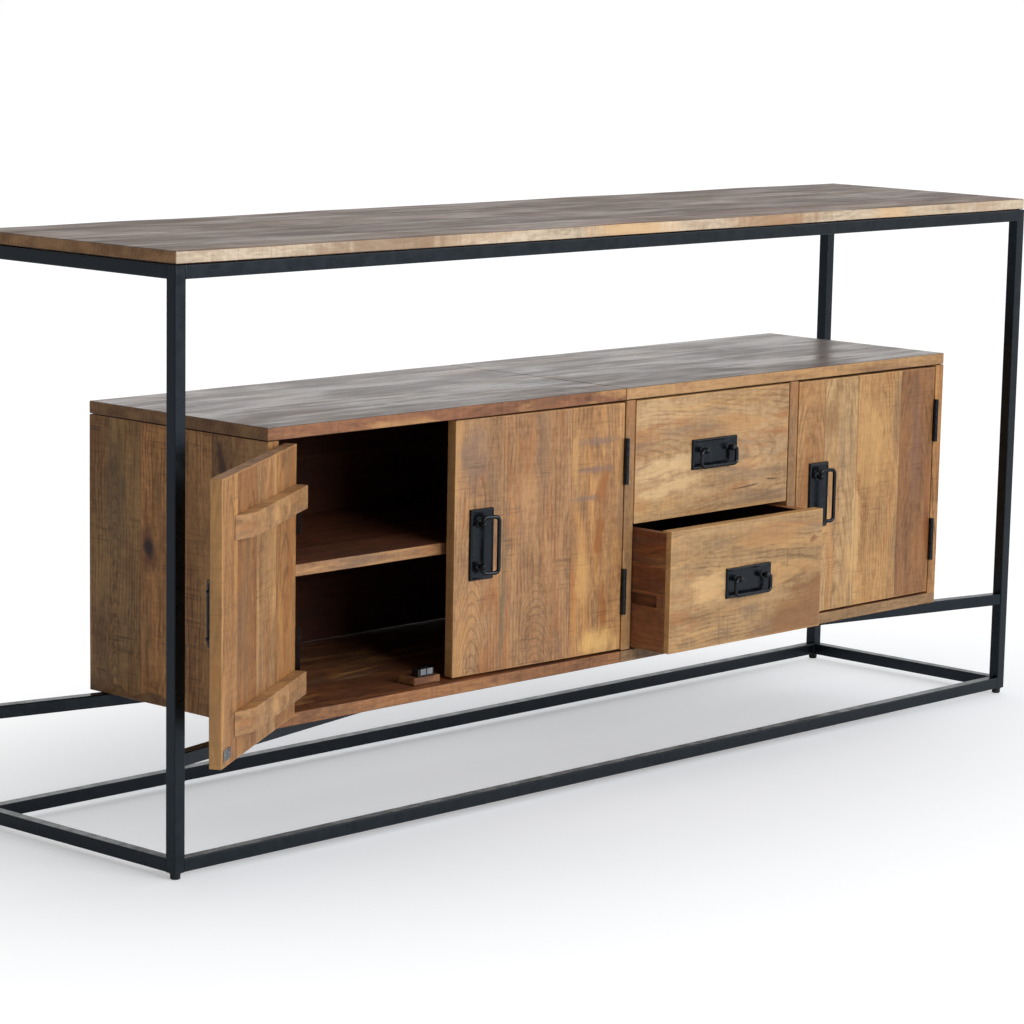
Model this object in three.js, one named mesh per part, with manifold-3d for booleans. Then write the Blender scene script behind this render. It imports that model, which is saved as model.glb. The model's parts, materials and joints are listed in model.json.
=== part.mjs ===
// Sideboard buffet: an open frame of black square steel tube carries a plank top, and a mango-wood
// cabinet rests inside it on a crossed brace. The cabinet has a wide bay behind two doors, a column of
// two drawers and a single bay behind a third door. Millimetres, +Z up, front towards -Y.
import * as THREE from 'three';
import { mergeVertices } from 'three/addons/utils/BufferGeometryUtils.js';
import Module from 'manifold-3d';

const wasm = await Module();
wasm.setup();

// ---- driving dimensions -------------------------------------------------------------------------
// steel frame
const frameLength = 2000;
const frameDepth = 450;
const totalHeight = 900;
const tubeSize = 20;
const tubeWall = 1.5;
const tubeCorner = 2;
// wooden top
const topThickness = 20;
const topInset = 1;
const topBackExtra = 16;
// glides under the posts
const glideHeight = 10;
const glideDiameter = 15;
const glideFlangeDiameter = 18;
const glideFlangeThickness = 1;
const glidePlugLength = 14;
// cabinet, and the clear spaces between it and the frame
const leftClearance = 183;
const rightClearance = 161;
const frontSetback = 30;
const backSetback = 20;
const cabinetHeight = 448;
const cabinetBase = 185;
const drawerBay = 391;
const singleBay = 382;
const sidePanel = 22;
const levelPanel = 20;
const backPanel = 10;
const backInset = 3;
// shelves
const shelfThickness = 19.5;
const shelfTopAboveFloor = 211.5;
const shelfSetback = 45;
const housingDepth = 5;
// doors
const doorThickness = 19;
const doorGap = 2.5;
const battenHeight = 34;
const battenThickness = 18;
const battenBelowTop = 59;
const battenAboveBottom = 35;
const battenHingeInset = 4;
const battenFreeInset = 58;
const battenBevel = 42;
// wooden block behind the left door, which carries its magnetic catch
const catchLength = 56;
const catchDepth = 37;
const catchHeight = 12;
const catchFromMiddle = 18;
// butt hinges
const hingeLength = 75;
const hingeFromEdge = 98;
const barrelRadius = 4;
const leafThickness = 1.1;
const leafWidth = 26;
// drawers
const drawerGap = 3;
const frontThickness = 20;
const drawerSide = 18;
const drawerDrop = 5;
const lapDepth = 8;
const drawerBackClearance = 12;
const bottomThickness = 6;
const bottomAboveEdge = 10;
const bottomGroove = 5;
const runnerHeight = 18;
const runnerEndGap = 1;
const runnerSetback = 30;
const grooveDepth = 8;
const grooveCentreFraction = 0.42;
// bail handles
const plateLength = 112;
const plateWidth = 50;
const plateThickness = 3;
const plateRimWidth = 3.5;
const plateRimHeight = 1.5;
const postSpacing = 66;
const rodDiameter = 6.5;
const eyeWall = 2.25;
const rodHeight = 13;
const legClearance = 2.25;
const bailReach = 27;
const bailCorner = 7.5;
const doorBailTilt = 20;
const pivotRaise = 7;
const handleFromFreeEdge = 56;
const handleRaise = 4;
// clearances
const touchGap = 0.3;
const slideGap = 0.5;
// how the piece stands: the left door and the lower drawer are open, and the middle door is pushed
// a little way in past flush
const leftDoorOpen = 148.5;
const middleDoorOpen = -2;
const rightDoorOpen = 0;
const lowerDrawerOut = 81;

// ---- materials ----------------------------------------------------------------------------------
const finish = (color, roughness, metalness) =>
  new THREE.MeshStandardMaterial({ color, roughness, metalness });
const blackTube = finish('#23272d', 0.42, 0.6);
const blackIron = finish('#1b1c1f', 0.5, 0.75);
const glidePlastic = finish('#141414', 0.6, 0.0);
const topWood = finish('#b9946b', 0.45, 0.0);
const caseWood = finish('#a77c55', 0.5, 0.0);
const doorWood = finish('#c39a68', 0.5, 0.0);
const innerWood = finish('#8d5f42', 0.6, 0.0);

// ---- geometry helpers ---------------------------------------------------------------------------
// a box from its lowest to its highest corner
function boxBetween(low, high) {
  const size = high.map((value, axis) => value - low[axis]);
  const box = new THREE.BoxGeometry(...size);
  return box.translate(...low.map((value, axis) => value + size[axis] / 2));
}

// a closed three.js geometry as a solid that can be cut and joined
function solidOf(geometry) {
  const bare = geometry.clone();
  bare.deleteAttribute('normal');
  bare.deleteAttribute('uv');
  const welded = mergeVertices(bare, 1e-4);
  const vertProperties = new Float32Array(welded.attributes.position.array);
  const triVerts = new Uint32Array(welded.index.array);
  return new wasm.Manifold(new wasm.Mesh({ numProp: 3, vertProperties, triVerts }));
}

function geometryOf(solid) {
  const mesh = solid.getMesh();
  const geometry = new THREE.BufferGeometry();
  geometry.setAttribute('position', new THREE.BufferAttribute(mesh.vertProperties, 3));
  geometry.setIndex(new THREE.BufferAttribute(mesh.triVerts, 1));
  const flat = geometry.toNonIndexed();
  flat.computeVertexNormals();
  return flat;
}

// one geometry with others joined on and others cut away
function shaped(base, added = [], removed = []) {
  let solid = solidOf(base);
  for (const part of added) {
    solid = solid.add(solidOf(part));
  }
  for (const part of removed) {
    solid = solid.subtract(solidOf(part));
  }
  return geometryOf(solid);
}

// square tube along +X from start to end, centred on y = z = 0
function tubeAlongX(start, end) {
  const half = tubeSize / 2;
  const bore = half - tubeWall;
  const section = new THREE.Shape();
  const flat = half - tubeCorner;
  section.moveTo(-flat, -half);
  section.lineTo(flat, -half);
  section.absarc(flat, -flat, tubeCorner, -Math.PI / 2, 0);
  section.absarc(flat, flat, tubeCorner, 0, Math.PI / 2);
  section.absarc(-flat, flat, tubeCorner, Math.PI / 2, Math.PI);
  section.absarc(-flat, -flat, tubeCorner, Math.PI, Math.PI * 1.5);
  const hole = new THREE.Path();
  hole.moveTo(-bore, -bore);
  hole.lineTo(-bore, bore);
  hole.lineTo(bore, bore);
  hole.lineTo(bore, -bore);
  hole.closePath();
  section.holes.push(hole);
  const tube = new THREE.ExtrudeGeometry(section, {
    depth: end - start, bevelEnabled: false, curveSegments: 3,
  });
  return tube.rotateY(Math.PI / 2).translate(start, 0, 0);
}

const tubeAlongY = (start, end) => tubeAlongX(start, end).rotateZ(Math.PI / 2);
const tubeAlongZ = (start, end) => tubeAlongX(start, end).rotateY(-Math.PI / 2);

const model = new THREE.Group();

function addPiece(name, geometry, material, group = model) {
  const mesh = new THREE.Mesh(geometry, material);
  mesh.name = name;
  group.add(mesh);
  return mesh;
}

// ---- steel frame --------------------------------------------------------------------------------
const postX = (frameLength - tubeSize) / 2;
const postY = (frameDepth - tubeSize) / 2;
const postTop = totalHeight - topThickness - touchGap;
const railEndX = frameLength / 2 - tubeSize - touchGap;
const railEndY = frameDepth / 2 - tubeSize - touchGap;
const braceZ = cabinetBase - touchGap - tubeSize / 2;

// a foot, a thin flange under the end of the tube, and a plug pressed up inside it
function glideGeometry() {
  const radius = glideDiameter / 2;
  const ease = 1.2;
  const flangeTop = glideHeight - touchGap;
  const flangeRadius = glideFlangeDiameter / 2;
  const plugRadius = tubeSize / 2 - tubeWall - touchGap;
  const plugTop = glideHeight + glidePlugLength;
  const profile = [
    [0, 0], [radius - ease, 0], [radius, ease], [radius, flangeTop - glideFlangeThickness],
    [flangeRadius, flangeTop - glideFlangeThickness], [flangeRadius, flangeTop],
    [plugRadius, flangeTop], [plugRadius, plugTop], [0, plugTop],
  ];
  const outline = profile.map(([r, z]) => new THREE.Vector2(r, z));
  return new THREE.LatheGeometry(outline, 20).rotateX(Math.PI / 2);
}

function buildPosts() {
  for (const [side, x] of [['left', -postX], ['right', postX]]) {
    for (const [face, y] of [['front', -postY], ['back', postY]]) {
      const post = addPiece(`post_${face}_${side}`, tubeAlongZ(glideHeight, postTop), blackTube);
      post.position.set(x, y, 0);
      const glide = addPiece(`foot_glide_${face}_${side}`, glideGeometry(), glidePlastic);
      glide.position.set(x, y, 0);
    }
  }
}

function buildRails() {
  const levels = [['top', postTop - tubeSize / 2], ['bottom', glideHeight + tubeSize / 2]];
  for (const [level, z] of levels) {
    for (const [face, y] of [['front', -postY], ['back', postY]]) {
      const rail = addPiece(`${level}_rail_${face}`, tubeAlongX(-railEndX, railEndX), blackTube);
      rail.position.set(0, y, z);
    }
    for (const [side, x] of [['left', -postX], ['right', postX]]) {
      const rail = addPiece(`${level}_rail_${side}`, tubeAlongY(-railEndY, railEndY), blackTube);
      rail.position.set(x, 0, z);
    }
  }
}

// turns a bar along X into one laid corner to corner, its ends still parallel to the posts
function laidDiagonally(bar, slope) {
  const rise = slope * postY / postX;
  const widen = Math.sqrt(1 + rise * rise);
  const lean = new THREE.Matrix4().set(1, 0, 0, 0, rise, widen, 0, 0, 0, 0, 1, 0, 0, 0, 0, 1);
  return bar.applyMatrix4(lean);
}

// the space that the long brace fills, which the two short ones are cut to meet
function braceEnvelope() {
  const half = tubeSize / 2 + touchGap;
  return laidDiagonally(boxBetween([-postX, -half, -half], [postX, half, half]), 1);
}

function buildBrace() {
  const long = addPiece('brace_long', laidDiagonally(tubeAlongX(-railEndX, railEndX), 1), blackTube);
  long.position.z = braceZ;
  const spans = [['left', -railEndX, 0], ['right', 0, railEndX]];
  for (const [side, start, end] of spans) {
    const cut = shaped(laidDiagonally(tubeAlongX(start, end), -1), [], [braceEnvelope()]);
    const short = addPiece(`brace_short_${side}`, cut, blackTube);
    short.position.z = braceZ;
  }
}

// the right-hand end of the top is cut out of square: its back edge is longer than its front edge
function buildTop() {
  const halfX = frameLength / 2 - topInset;
  const halfY = frameDepth / 2;
  const plan = new THREE.Shape();
  plan.moveTo(-halfX, -halfY);
  plan.lineTo(halfX, -halfY);
  plan.lineTo(halfX + topBackExtra, halfY);
  plan.lineTo(-halfX, halfY);
  plan.closePath();
  const top = new THREE.ExtrudeGeometry(plan, { depth: topThickness, bevelEnabled: false });
  addPiece('table_top', top.translate(0, 0, totalHeight - topThickness), topWood);
}

// ---- cabinet ------------------------------------------------------------------------------------
const caseLeft = tubeSize - frameLength / 2 + leftClearance;
const caseRight = frameLength / 2 - tubeSize - rightClearance;
const caseFront = frontSetback - frameDepth / 2;
const caseBack = frameDepth / 2 - backSetback;
const caseTop = cabinetBase + cabinetHeight;
const floorZ = cabinetBase + levelPanel;
const ceilingZ = caseTop - levelPanel;
const backFace = caseBack - backInset - backPanel;
const singleRight = caseRight - sidePanel;
const singleLeft = singleRight - singleBay;
const drawerRight = singleLeft - sidePanel;
const drawerLeft = drawerRight - drawerBay;
const doubleRight = drawerLeft - sidePanel;
const doubleLeft = caseLeft + sidePanel;
const doubleBay = doubleRight - doubleLeft;
const shelfTopZ = floorZ + shelfTopAboveFloor;
const frontHeight = (ceilingZ - floorZ - 2 * doorGap - drawerGap) / 2;
const drawerBases = { lower: floorZ + doorGap, upper: floorZ + doorGap + frontHeight + drawerGap };
const grooveMiddle = (frontHeight - drawerDrop) * grooveCentreFraction;

// the slot that a shelf end sits in, on the face of a panel at x, cut towards +X or -X
function shelfHousing(x, direction) {
  const far = x + direction * housingDepth;
  return boxBetween(
    [Math.min(x, far) - (direction > 0 ? 1 : 0), caseFront + shelfSetback, shelfTopZ - shelfThickness],
    [Math.max(x, far) + (direction > 0 ? 0 : 1), backFace + backPanel, shelfTopZ],
  );
}

// a wooden runner for each drawer, standing proud of the panel face at x towards +X or -X
function drawerRunners(x, direction) {
  const far = x + direction * (doorGap + grooveDepth - runnerEndGap);
  const root = x - direction * 2;
  return Object.values(drawerBases).map((base) => boxBetween(
    [Math.min(root, far), caseFront + runnerSetback, base + grooveMiddle - runnerHeight / 2],
    [Math.max(root, far), backFace - drawerBackClearance, base + grooveMiddle + runnerHeight / 2],
  ));
}

function buildCase() {
  addPiece('cabinet_top', boxBetween(
    [caseLeft, caseFront, ceilingZ], [caseRight, caseBack, caseTop]), caseWood);
  const sideTop = ceilingZ - touchGap;
  const sideLeft = boxBetween([caseLeft, caseFront, cabinetBase], [doubleLeft, caseBack, sideTop]);
  const sideRight = boxBetween([singleRight, caseFront, cabinetBase], [caseRight, caseBack, sideTop]);
  addPiece('cabinet_side_left', shaped(sideLeft, [], [shelfHousing(doubleLeft, -1)]), caseWood);
  addPiece('cabinet_side_right', shaped(sideRight, [], [shelfHousing(singleRight, 1)]), caseWood);
  const bottom = boxBetween(
    [doubleLeft + touchGap, caseFront, cabinetBase], [singleRight - touchGap, caseBack, floorZ]);
  const catchRight = (doubleLeft + doubleRight) / 2 - catchFromMiddle;
  const catchFront = caseFront + doorThickness + slideGap;
  const catchBlock = boxBetween(
    [catchRight - catchLength, catchFront, floorZ - 1],
    [catchRight, catchFront + catchDepth, floorZ + catchHeight]);
  addPiece('cabinet_bottom', shaped(bottom, [catchBlock]), caseWood);
  addPiece('cabinet_back', boxBetween(
    [doubleLeft + touchGap, backFace, floorZ + touchGap],
    [singleRight - touchGap, backFace + backPanel, ceilingZ - touchGap]), innerWood);
}

function buildPartitions() {
  const low = floorZ + touchGap;
  const high = ceilingZ - touchGap;
  const back = backFace - touchGap;
  const left = boxBetween([doubleRight, caseFront, low], [drawerLeft, back, high]);
  const right = boxBetween([drawerRight, caseFront, low], [singleLeft, back, high]);
  addPiece('partition_left', shaped(
    left, drawerRunners(drawerLeft, 1), [shelfHousing(doubleRight, 1)]), caseWood);
  addPiece('partition_right', shaped(
    right, drawerRunners(drawerRight, -1), [shelfHousing(singleLeft, -1)]), caseWood);
}

function buildShelves() {
  const reach = housingDepth - touchGap;
  for (const [side, x0, x1] of [['left', doubleLeft, doubleRight], ['right', singleLeft, singleRight]]) {
    addPiece(`shelf_${side}`, boxBetween(
      [x0 - reach, caseFront + shelfSetback + touchGap, shelfTopZ - shelfThickness + touchGap],
      [x1 + reach, backFace - touchGap, shelfTopZ - touchGap]), innerWood);
  }
}

// ---- bail handles -------------------------------------------------------------------------------
// A handle is drawn lying on a drawer: wood surface at y = 0, outwards -Y, length along X, bail down.
function handlePlateGeometry() {
  const inner = { x: plateLength / 2 - plateRimWidth, z: plateWidth / 2 - plateRimWidth };
  const back = -touchGap;
  const face = back - plateThickness;
  const rim = face - plateRimHeight;
  const body = boxBetween(
    [-plateLength / 2, rim, -plateWidth / 2], [plateLength / 2, back, plateWidth / 2]);
  const dish = boxBetween([-inner.x, rim - 1, -inner.z], [inner.x, face, inner.z]);
  const sunk = shaped(body, [], [dish]);
  const postDiameter = rodDiameter + 2 * eyeWall;
  const postLength = rodHeight + rodDiameter;
  const posts = [-1, 1].map((side) => {
    const post = new THREE.CylinderGeometry(postDiameter / 2, postDiameter / 2, postLength, 16);
    return post.translate(side * postSpacing / 2, -postLength / 2 - 1, pivotRaise);
  });
  const eyeRadius = rodDiameter / 2 + slideGap;
  const eye = new THREE.CylinderGeometry(eyeRadius, eyeRadius, plateLength, 16);
  eye.rotateZ(Math.PI / 2).translate(0, -rodHeight, pivotRaise);
  return shaped(sunk, posts, [eye]);
}

// the bent rod, drawn about its pivot line: both ends sit in the eyes of the posts
function bailGeometry() {
  const end = postSpacing / 2 - rodDiameter / 2 - eyeWall + 1;
  const side = postSpacing / 2 + rodDiameter + eyeWall + legClearance;
  const corner = (x, z) => new THREE.Vector3(x, 0, z);
  const route = new THREE.CurvePath();
  const line = (a, b) => route.add(new THREE.LineCurve3(a, b));
  const bend = (a, b, c) => route.add(new THREE.QuadraticBezierCurve3(a, b, c));
  const r = bailCorner;
  line(corner(-end, 0), corner(-side + r, 0));
  bend(corner(-side + r, 0), corner(-side, 0), corner(-side, -r));
  line(corner(-side, -r), corner(-side, -bailReach + r));
  bend(corner(-side, -bailReach + r), corner(-side, -bailReach), corner(-side + r, -bailReach));
  line(corner(-side + r, -bailReach), corner(side - r, -bailReach));
  bend(corner(side - r, -bailReach), corner(side, -bailReach), corner(side, -bailReach + r));
  line(corner(side, -bailReach + r), corner(side, -r));
  bend(corner(side, -r), corner(side, 0), corner(side - r, 0));
  line(corner(side - r, 0), corner(end, 0));
  const section = new THREE.Shape();
  section.absarc(0, 0, rodDiameter / 2, 0, Math.PI * 2);
  return new THREE.ExtrudeGeometry(section, {
    steps: 44, extrudePath: route, curveSegments: 4, bevelEnabled: false,
  });
}

// centre is on the wood, turn is the angle about the outward axis, and tilt lifts the bail
function addHandle(name, group, centre, turn, tilt) {
  const handle = new THREE.Group();
  handle.position.set(...centre);
  handle.rotation.y = THREE.MathUtils.degToRad(turn);
  group.add(handle);
  addPiece(`handle_plate_${name}`, handlePlateGeometry(), blackIron, handle);
  const bail = addPiece(`bail_${name}`, bailGeometry(), blackIron, handle);
  bail.position.set(0, -rodHeight, pivotRaise);
  bail.rotation.x = -THREE.MathUtils.degToRad(tilt);
}

// ---- doors --------------------------------------------------------------------------------------
const hingeOut = barrelRadius + touchGap;
const doorLow = floorZ + doorGap;
const doorHigh = ceilingZ - doorGap;

// a bar across the inner face, square at the hinge end and bevelled at the free end
function battenGeometry(direction, width, base) {
  const start = doorGap / 2 + battenHingeInset;
  const end = doorGap / 2 + width - battenFreeInset;
  const inner = hingeOut + doorThickness + touchGap;
  const outline = new THREE.Shape();
  outline.moveTo(start * direction, inner);
  outline.lineTo(end * direction, inner);
  outline.lineTo((end - battenBevel) * direction, inner + battenThickness);
  outline.lineTo(start * direction, inner + battenThickness);
  outline.closePath();
  const bar = new THREE.ExtrudeGeometry(outline, { depth: battenHeight, bevelEnabled: false });
  return bar.translate(0, 0, base);
}

// The group turns about the hinge line. direction is +1 for a door that runs right from its hinge.
function buildDoor(name, hingeX, direction, width, open) {
  const door = new THREE.Group();
  door.position.set(hingeX, caseFront - hingeOut, 0);
  door.rotation.z = -direction * THREE.MathUtils.degToRad(open);
  model.add(door);
  const near = direction * doorGap / 2;
  const far = direction * (doorGap / 2 + width);
  const left = Math.min(near, far);
  const right = Math.max(near, far);
  addPiece(`door_${name}`, boxBetween(
    [left, hingeOut, doorLow], [right, hingeOut + doorThickness, doorHigh]), doorWood, door);
  const upper = doorHigh - battenBelowTop - battenHeight;
  const lower = doorLow + battenAboveBottom;
  for (const [level, base] of [['upper', upper], ['lower', lower]]) {
    const batten = battenGeometry(direction, width, base);
    addPiece(`door_${name}_batten_${level}`, batten, doorWood, door);
  }
  const handleX = far - direction * handleFromFreeEdge;
  const handleZ = (doorLow + doorHigh) / 2 + handleRaise;
  addHandle(`door_${name}`, door, [handleX, hingeOut, handleZ], direction * 90, doorBailTilt);
}

// the fixed leaf lies on the panel face at panelX, and the barrel stands in front of the gap
function buildHinges(name, panelX, direction) {
  const hingeX = panelX + direction * doorGap / 2;
  for (const [level, z] of [['upper', ceilingZ - hingeFromEdge], ['lower', floorZ + hingeFromEdge]]) {
    const barrel = new THREE.CylinderGeometry(barrelRadius, barrelRadius, hingeLength, 20);
    barrel.rotateX(Math.PI / 2);
    const near = direction * (touchGap - doorGap / 2);
    const far = near + direction * leafThickness;
    const leaf = boxBetween(
      [Math.min(near, far), 0, -hingeLength / 2],
      [Math.max(near, far), hingeOut + leafWidth, hingeLength / 2]);
    const hinge = addPiece(`hinge_${name}_${level}`, shaped(barrel, [leaf]), blackIron);
    hinge.position.set(hingeX, caseFront - hingeOut, z);
  }
}

function buildDoors() {
  const pairWidth = (doubleBay - 3 * doorGap) / 2;
  const singleWidth = singleBay - 2 * doorGap;
  const doors = [
    ['left', doubleLeft, 1, pairWidth, leftDoorOpen],
    ['middle', doubleRight, -1, pairWidth, middleDoorOpen],
    ['right', singleRight, -1, singleWidth, rightDoorOpen],
  ];
  for (const [name, panelX, direction, width, open] of doors) {
    buildDoor(name, panelX + direction * doorGap / 2, direction, width, open);
    buildHinges(name, panelX, direction);
  }
}

// ---- drawers ------------------------------------------------------------------------------------
// Drawn in place with the front closed; z runs from the lower edge of the front.
const frontWidth = drawerBay - 2 * doorGap;
const boxHeight = frontHeight - drawerDrop;
const boxFront = caseFront + frontThickness - lapDepth;
const boxBack = backFace - drawerBackClearance;
const halfFront = frontWidth / 2;
const innerHalf = halfFront - drawerSide;

function drawerFrontGeometry() {
  const board = boxBetween(
    [-halfFront, caseFront, 0], [halfFront, caseFront + frontThickness, frontHeight]);
  const laps = [-1, 1].map((side) => boxBetween(
    [side > 0 ? innerHalf - touchGap : -halfFront - 1, boxFront - touchGap, -1],
    [side > 0 ? halfFront + 1 : touchGap - innerHalf, caseFront + frontThickness + 1, boxHeight + touchGap],
  ));
  const groove = boxBetween(
    [-innerHalf - 1, caseFront + frontThickness - bottomGroove, bottomAboveEdge],
    [innerHalf + 1, caseFront + frontThickness + 1, bottomAboveEdge + bottomThickness]);
  return shaped(board, [], [...laps, groove]);
}

// two sides and the back, with the runner grooves outside and the groove for the bottom inside
function drawerBoxGeometry() {
  const plan = new THREE.Shape();
  const innerBack = boxBack - drawerSide;
  plan.moveTo(-halfFront, boxFront);
  plan.lineTo(-innerHalf, boxFront);
  plan.lineTo(-innerHalf, innerBack);
  plan.lineTo(innerHalf, innerBack);
  plan.lineTo(innerHalf, boxFront);
  plan.lineTo(halfFront, boxFront);
  plan.lineTo(halfFront, boxBack);
  plan.lineTo(-halfFront, boxBack);
  plan.closePath();
  const walls = new THREE.ExtrudeGeometry(plan, { depth: boxHeight, bevelEnabled: false });
  const runnerSlots = [-1, 1].map((side) => {
    const outer = side * (halfFront + 1);
    const floor = side * (halfFront - grooveDepth);
    return boxBetween(
      [Math.min(outer, floor), caseFront + runnerSetback - 1, grooveMiddle - runnerHeight / 2 - slideGap],
      [Math.max(outer, floor), boxBack + 1, grooveMiddle + runnerHeight / 2 + slideGap]);
  });
  const bottomSlot = boxBetween(
    [-innerHalf - bottomGroove, boxFront - 1, bottomAboveEdge],
    [innerHalf + bottomGroove, innerBack + bottomGroove, bottomAboveEdge + bottomThickness]);
  return shaped(walls, [], [...runnerSlots, bottomSlot]);
}

function drawerBottomGeometry() {
  const slack = touchGap;
  const reach = bottomGroove - slack;
  return boxBetween(
    [-innerHalf - reach, caseFront + frontThickness - reach, bottomAboveEdge + slack],
    [innerHalf + reach, boxBack - drawerSide + reach, bottomAboveEdge + bottomThickness - slack]);
}

function buildDrawer(level, out) {
  const drawer = new THREE.Group();
  drawer.position.set((drawerLeft + drawerRight) / 2, -out, drawerBases[level]);
  model.add(drawer);
  addPiece(`drawer_${level}_front`, drawerFrontGeometry(), doorWood, drawer);
  addPiece(`drawer_${level}_box`, drawerBoxGeometry(), innerWood, drawer);
  addPiece(`drawer_${level}_bottom`, drawerBottomGeometry(), innerWood, drawer);
  addHandle(`drawer_${level}`, drawer, [0, caseFront, frontHeight / 2], 0, 0);
}

// ---- assembly -----------------------------------------------------------------------------------
buildPosts();
buildRails();
buildBrace();
buildTop();
buildCase();
buildPartitions();
buildShelves();
buildDoors();
buildDrawer('lower', lowerDrawerOut);
buildDrawer('upper', 0);

// the origin is on the floor, under the middle of everything as it stands
model.updateMatrixWorld(true);
const extent = new THREE.Box3().setFromObject(model, true);
const middle = extent.getCenter(new THREE.Vector3());
model.position.set(-middle.x, -middle.y, -extent.min.z);
model.updateMatrixWorld(true);

export default model;
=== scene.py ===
"""Sideboard buffet: an open frame of black square tube carries a plank top, and a mango-wood cabinet
with three doors and two drawers rests inside it on a crossed brace.

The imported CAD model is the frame. Steel tubes, glides, battens and drawers keep their CAD meshes and
get better materials. Boards, doors, handles, hinges and the catch are rebuilt in place with
hand-worked edges. Metres, +Z up, front towards -Y.
"""
import json
import math

import bmesh
import bpy
import numpy as np
from mathutils import Matrix, Vector, noise

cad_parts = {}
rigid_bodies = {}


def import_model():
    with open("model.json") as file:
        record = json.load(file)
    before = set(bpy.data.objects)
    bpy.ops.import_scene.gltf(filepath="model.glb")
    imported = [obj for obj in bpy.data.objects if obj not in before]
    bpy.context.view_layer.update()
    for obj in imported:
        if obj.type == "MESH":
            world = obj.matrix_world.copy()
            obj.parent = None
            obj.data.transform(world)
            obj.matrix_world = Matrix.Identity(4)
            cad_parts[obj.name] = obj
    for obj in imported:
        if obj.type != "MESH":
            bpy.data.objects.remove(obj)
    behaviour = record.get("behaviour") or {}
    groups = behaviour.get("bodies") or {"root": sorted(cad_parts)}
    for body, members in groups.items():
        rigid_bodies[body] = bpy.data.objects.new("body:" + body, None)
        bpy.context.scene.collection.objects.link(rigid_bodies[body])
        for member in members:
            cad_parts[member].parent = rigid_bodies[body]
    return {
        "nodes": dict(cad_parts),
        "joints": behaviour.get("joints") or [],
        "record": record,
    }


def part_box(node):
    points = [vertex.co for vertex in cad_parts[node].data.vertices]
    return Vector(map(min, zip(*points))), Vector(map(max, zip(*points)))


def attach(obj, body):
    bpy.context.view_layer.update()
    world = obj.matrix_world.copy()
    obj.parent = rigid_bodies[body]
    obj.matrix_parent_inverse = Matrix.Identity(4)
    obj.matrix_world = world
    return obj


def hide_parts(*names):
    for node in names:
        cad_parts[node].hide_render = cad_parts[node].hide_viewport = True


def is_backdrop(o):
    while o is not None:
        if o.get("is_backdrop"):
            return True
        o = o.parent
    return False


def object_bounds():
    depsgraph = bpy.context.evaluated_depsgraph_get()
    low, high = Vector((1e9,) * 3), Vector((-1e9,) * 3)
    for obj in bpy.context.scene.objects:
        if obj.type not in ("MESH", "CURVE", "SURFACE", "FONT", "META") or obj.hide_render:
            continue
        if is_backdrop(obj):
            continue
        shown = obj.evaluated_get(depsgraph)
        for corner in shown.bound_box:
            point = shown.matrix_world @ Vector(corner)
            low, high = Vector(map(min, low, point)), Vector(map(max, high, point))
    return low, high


for thing in list(bpy.data.objects):
    bpy.data.objects.remove(thing)

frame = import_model()
cad_low, cad_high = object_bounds()
scene = bpy.context.scene
MM = 0.001

# ---- how the doors stand -------------------------------------------------------------------------
# Degrees from flush with the cabinet to rest, in the sense in which the door opens.
OPENED = {"door_left": 148.5, "door_middle": -2.0, "door_right": 0.0}
# Degrees that each bail is swung out from hanging flat against its plate.
BAIL_TILT = {
    "door_left": 20, "door_middle": 20, "door_right": 20, "drawer_upper": 0, "drawer_lower": 0,
}
joints = {joint["child"]: joint for joint in frame["joints"]}


def opened(body):
    """The matrix that takes a door, or a bail on one, from flush with the cabinet to rest."""
    if body not in OPENED:
        return Matrix.Identity(4)
    pivot = Vector(joints[body]["pos_m"])
    turn = Matrix.Rotation(math.radians(OPENED[body]), 4, Vector(joints[body]["axis"]))
    return Matrix.Translation(pivot) @ turn @ Matrix.Translation(-pivot)


def flush_box(node, body):
    """(lowest, highest) corner of a CAD node with its door closed flush."""
    back = np.array(opened(body).inverted())
    co = np.array([vertex.co for vertex in frame["nodes"][node].data.vertices])
    co = co @ back[:3, :3].T + back[:3, 3]
    return Vector(co.min(0)), Vector(co.max(0))


# ---- shader graphs -------------------------------------------------------------------------------
def srgb(text):
    """The linear colour of a #rrggbb text."""
    parts = [int(text[i : i + 2], 16) / 255 for i in (1, 3, 5)]
    linear = [p / 12.92 if p <= 0.04045 else ((p + 0.055) / 1.055) ** 2.4 for p in parts]
    return (*linear, 1.0)


def grey(value):
    """A colour whose channels all hold that value, for a ramp that carries a number."""
    return (value, value, value, 1.0)


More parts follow.
